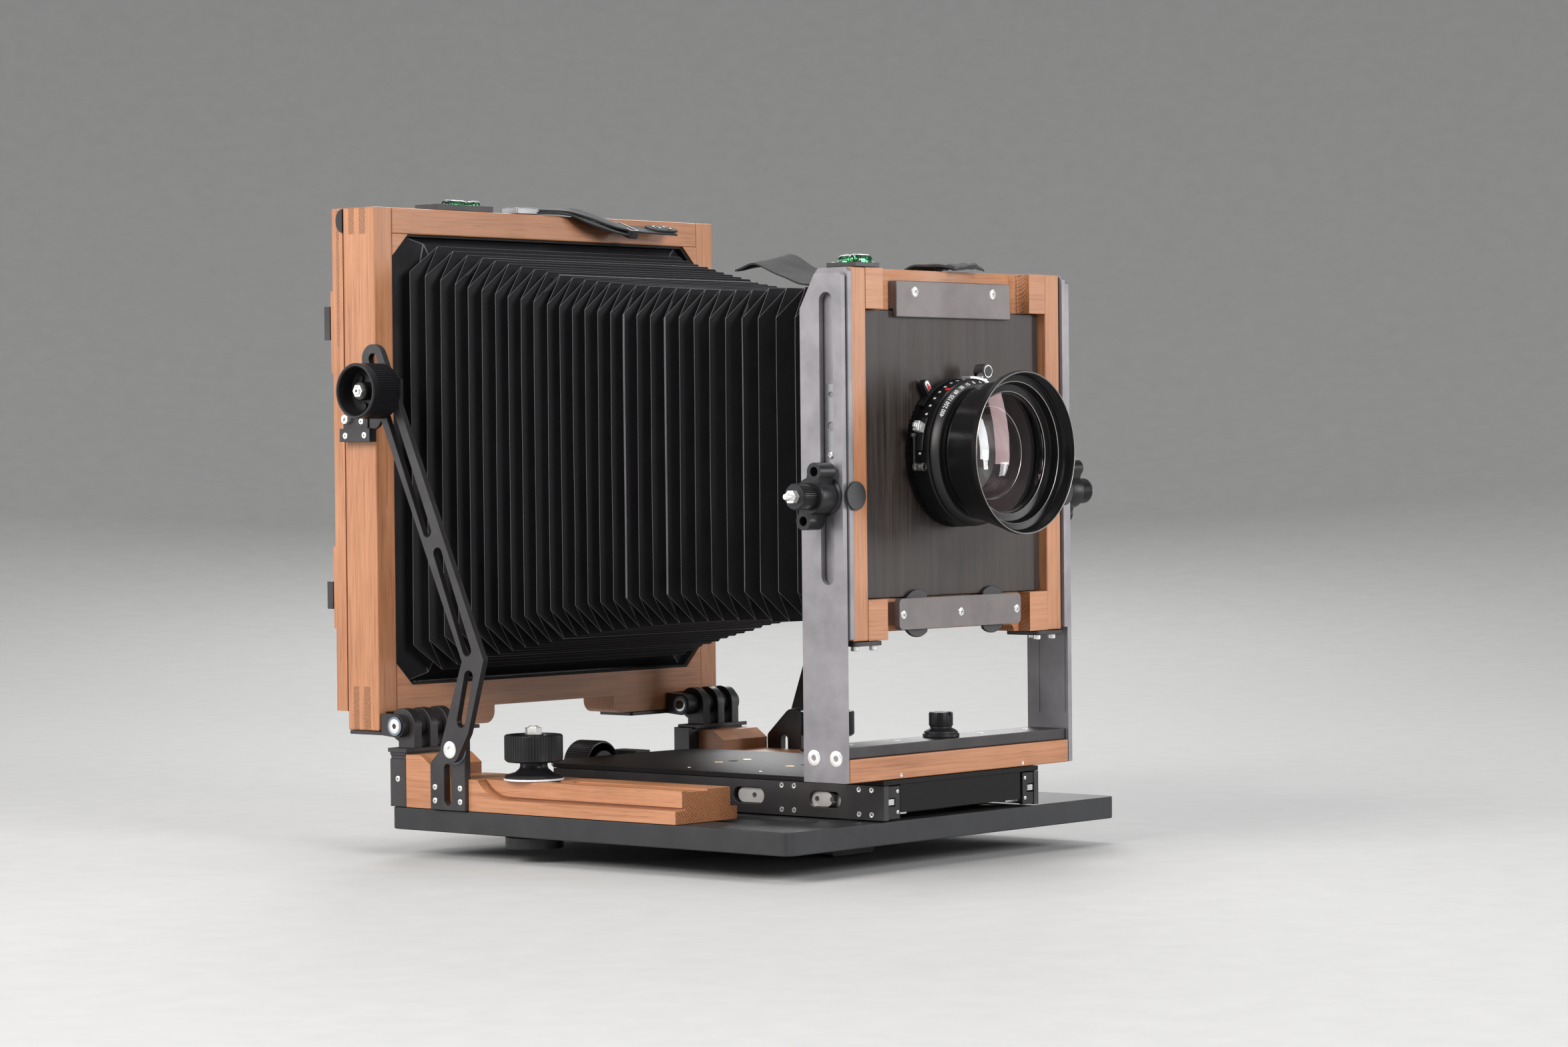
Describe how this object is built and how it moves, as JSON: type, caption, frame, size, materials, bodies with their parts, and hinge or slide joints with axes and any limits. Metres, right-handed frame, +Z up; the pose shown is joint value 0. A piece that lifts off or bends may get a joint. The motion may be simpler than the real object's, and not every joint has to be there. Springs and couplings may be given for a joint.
{
  "type": "view camera",
  "caption": "Folding wooden field camera with pleated bellows, slotted metal struts, sliding focus bed, rising and tilting front standard and a leaf-shutter lens.",
  "frame": {"origin": "centre of the tripod plate's resting face", "axes": "+Z up; the lens looks along -Y and the ground glass faces +Y; X runs across the camera"},
  "size_m": [0.36, 0.414, 0.3892],
  "materials": {
    "satin_wood": "satin oiled",
    "anodised_aluminium": "fine bead-blasted, black anodised",
    "matte_black_plate": "matte black anodised",
    "black_knob_aluminium": "satin black, knurled",
    "bright_steel": "bright",
    "optical_glass": "coated",
    "ground_glass": "finely ground",
    "laminate_board": "dark vertical-grain laminate",
    "bellows_cloth": "matte coated cloth",
    "nylon_strap": "woven nylon",
    "level_plate": "satin black"
  },
  "bodies": {
    "base": {"base_plate": "matte_black_plate", "tripod_plate": "anodised_aluminium", "bed_core": "anodised_aluminium", "slide_left": "bright_steel", "slide_right": "bright_steel"},
    "rear_carriage": {"rail_left": "satin_wood", "rail_right": "satin_wood", "hinge_block_left": "anodised_aluminium", "hinge_block_right": "anodised_aluminium", "strut_post_left": "anodised_aluminium", "strut_post_right": "anodised_aluminium"},
    "rear_standard": {"rear_frame": "satin_wood", "hinge_leaf_left": "anodised_aluminium", "hinge_leaf_right": "anodised_aluminium", "tilt_bracket_left": "anodised_aluminium", "tilt_bracket_right": "anodised_aluminium", "rear_level": "level_plate", "handle_strap": "nylon_strap", "bellows": "bellows_cloth"},
    "back": {"back_frame": "satin_wood"},
    "glass_holder": {"glass_frame": "satin_wood", "ground_glass": "ground_glass", "back_spring_left": "anodised_aluminium", "back_spring_right": "anodised_aluminium"},
    "bed": {"bed_side_left": "anodised_aluminium", "bed_side_right": "anodised_aluminium", "bed_top_plate": "anodised_aluminium"},
    "focus_knob": {"focus_knob": "black_knob_aluminium", "lead_screw": "bright_steel"},
    "front_standard": {"crossbar_wood": "satin_wood", "crossbar_plate": "anodised_aluminium", "upright_left": "anodised_aluminium", "upright_right": "anodised_aluminium"},
    "swing_knob": {"swing_knob": "black_knob_aluminium"},
    "riser": {"riser_plate_left": "anodised_aluminium", "riser_plate_right": "anodised_aluminium"},
    "front_frame": {"front_frame": "satin_wood", "lens_board": "laminate_board", "top_retainer": "anodised_aluminium", "lock_plate": "anodised_aluminium", "front_level": "level_plate", "front_strap": "nylon_strap", "shutter_body": "black_knob_aluminium", "lens_barrel": "black_knob_aluminium", "lens_glass": "optical_glass", "rear_cell": "black_knob_aluminium"},
    "speed_ring": {"speed_ring": "black_knob_aluminium"},
    "aperture_lever": {"aperture_lever": "black_knob_aluminium"},
    "cocking_lever": {"cocking_lever": "bright_steel"},
    "release_lever": {"release_lever": "bright_steel"},
    "rail_knob_left": {"rail_knob_left": "black_knob_aluminium"},
    "strut_left": {"strut_left": "anodised_aluminium"},
    "tilt_knob_left": {"tilt_knob_left": "black_knob_aluminium"},
    "wing_knob_left": {"wing_knob_left": "black_knob_aluminium"},
    "lock_cam_left": {"lock_cam_left": "black_knob_aluminium"},
    "rail_knob_right": {"rail_knob_right": "black_knob_aluminium"},
    "strut_right": {"strut_right": "anodised_aluminium"},
    "tilt_knob_right": {"tilt_knob_right": "black_knob_aluminium"},
    "wing_knob_right": {"wing_knob_right": "black_knob_aluminium"},
    "lock_cam_right": {"lock_cam_right": "black_knob_aluminium"}
  },
  "joints": [
    {"name": "rear_slide", "type": "slide", "parent": "base", "child": "rear_carriage", "axis": [0, 1, 0], "range_m": [0, 0.08], "deforming": ["bellows"]},
    {"name": "rear_tilt", "type": "hinge", "parent": "rear_carriage", "child": "rear_standard", "pos_m": [0, 0.1596, 0.0753], "axis": [-1, 0, 0], "range_deg": [-12, 13], "deforming": ["bellows"]},
    {"name": "back_release", "type": "slide", "parent": "rear_standard", "child": "back", "axis": [0, 1, 0], "range_m": [0, 0.03]},
    {"name": "glass_lift", "type": "slide", "parent": "back", "child": "glass_holder", "axis": [0, 1, 0], "range_m": [0, 0.014], "stiffness_N_per_m": 900, "springref_m": -0.008},
    {"name": "focus", "type": "slide", "parent": "base", "child": "bed", "axis": [0, -1, 0], "range_m": [0, 0.1], "deforming": ["bellows"]},
    {"name": "focus_knob_spin", "type": "hinge", "parent": "base", "child": "focus_knob", "pos_m": [0, 0.143, 0.0442], "axis": [0, 1, 0], "range_deg": [-10, 4600]},
    {"name": "front_swing", "type": "hinge", "parent": "bed", "child": "front_standard", "pos_m": [0, -0.132, 0.051], "axis": [0, 0, 1], "range_deg": [-8, 8], "deforming": ["bellows"]},
    {"name": "swing_knob_spin", "type": "hinge", "parent": "front_standard", "child": "swing_knob", "pos_m": [0, -0.132, 0.071], "axis": [0, 0, 1], "continuous": true},
    {"name": "rise", "type": "slide", "parent": "front_standard", "child": "riser", "axis": [0, 0, 1], "range_m": [-0.03, 0.05], "deforming": ["bellows"]},
    {"name": "front_tilt", "type": "hinge", "parent": "riser", "child": "front_frame", "pos_m": [0, -0.1364, 0.21], "axis": [1, 0, 0], "range_deg": [-10, 10], "deforming": ["bellows"]},
    {"name": "speed_ring_turn", "type": "hinge", "parent": "front_frame", "child": "speed_ring", "pos_m": [0, -0.16, 0.233], "axis": [0, 1, 0], "range_deg": [-100, 60]},
    {"name": "aperture_lever_turn", "type": "hinge", "parent": "front_frame", "child": "aperture_lever", "pos_m": [0, -0.16, 0.233], "axis": [0, 1, 0], "range_deg": [0, 26]},
    {"name": "cocking_lever_turn", "type": "hinge", "parent": "front_frame", "child": "cocking_lever", "pos_m": [0, -0.16, 0.233], "axis": [0, -1, 0], "range_deg": [0, 40], "stiffness_Nm_per_rad": 0.02, "springref_deg": -17.19},
    {"name": "release_lever_press", "type": "hinge", "parent": "front_frame", "child": "release_lever", "pos_m": [0, -0.16, 0.233], "axis": [0, -1, 0], "range_deg": [0, 8], "stiffness_Nm_per_rad": 0.05, "springref_deg": -17.19},
    {"name": "rail_knob_left_spin", "type": "hinge", "parent": "base", "child": "rail_knob_left", "pos_m": [-0.1316, 0.0641, 0.0465], "axis": [0, 0, 1], "continuous": true},
    {"name": "strut_left_swing", "type": "hinge", "parent": "rear_carriage", "child": "strut_left", "pos_m": [-0.1553, 0.1068, 0.0639], "axis": [-1, 0, 0], "range_deg": [-14, 14]},
    {"name": "tilt_knob_left_spin", "type": "hinge", "parent": "rear_standard", "child": "tilt_knob_left", "pos_m": [-0.1573, 0.1594, 0.2727], "axis": [1, 0, 0], "continuous": true},
    {"name": "wing_knob_left_spin", "type": "hinge", "parent": "riser", "child": "wing_knob_left", "pos_m": [-0.104, -0.1364, 0.21], "axis": [1, 0, 0], "continuous": true},
    {"name": "lock_cam_left_turn", "type": "hinge", "parent": "front_frame", "child": "lock_cam_left", "pos_m": [-0.034, -0.1425, 0.1431], "axis": [0, 1, 0], "range_deg": [0, 90]},
    {"name": "rail_knob_right_spin", "type": "hinge", "parent": "base", "child": "rail_knob_right", "pos_m": [0.1316, 0.0641, 0.0465], "axis": [0, 0, 1], "continuous": true},
    {"name": "strut_right_swing", "type": "hinge", "parent": "rear_carriage", "child": "strut_right", "pos_m": [0.1553, 0.1068, 0.0639], "axis": [-1, 0, 0], "range_deg": [-14, 14]},
    {"name": "tilt_knob_right_spin", "type": "hinge", "parent": "rear_standard", "child": "tilt_knob_right", "pos_m": [0.1573, 0.1594, 0.2727], "axis": [1, 0, 0], "continuous": true},
    {"name": "wing_knob_right_spin", "type": "hinge", "parent": "riser", "child": "wing_knob_right", "pos_m": [0.104, -0.1364, 0.21], "axis": [1, 0, 0], "continuous": true},
    {"name": "lock_cam_right_turn", "type": "hinge", "parent": "front_frame", "child": "lock_cam_right", "pos_m": [0.034, -0.1425, 0.1431], "axis": [0, 1, 0], "range_deg": [0, 90]}
  ],
  "couplings": [
    {"joint": "focus_knob_spin", "follows": "focus", "rad_per_m": 785.4},
    {"joint": "strut_left_swing", "follows": "rear_tilt", "ratio": 0.86},
    {"joint": "strut_right_swing", "follows": "rear_tilt", "ratio": 0.86}
  ]
}
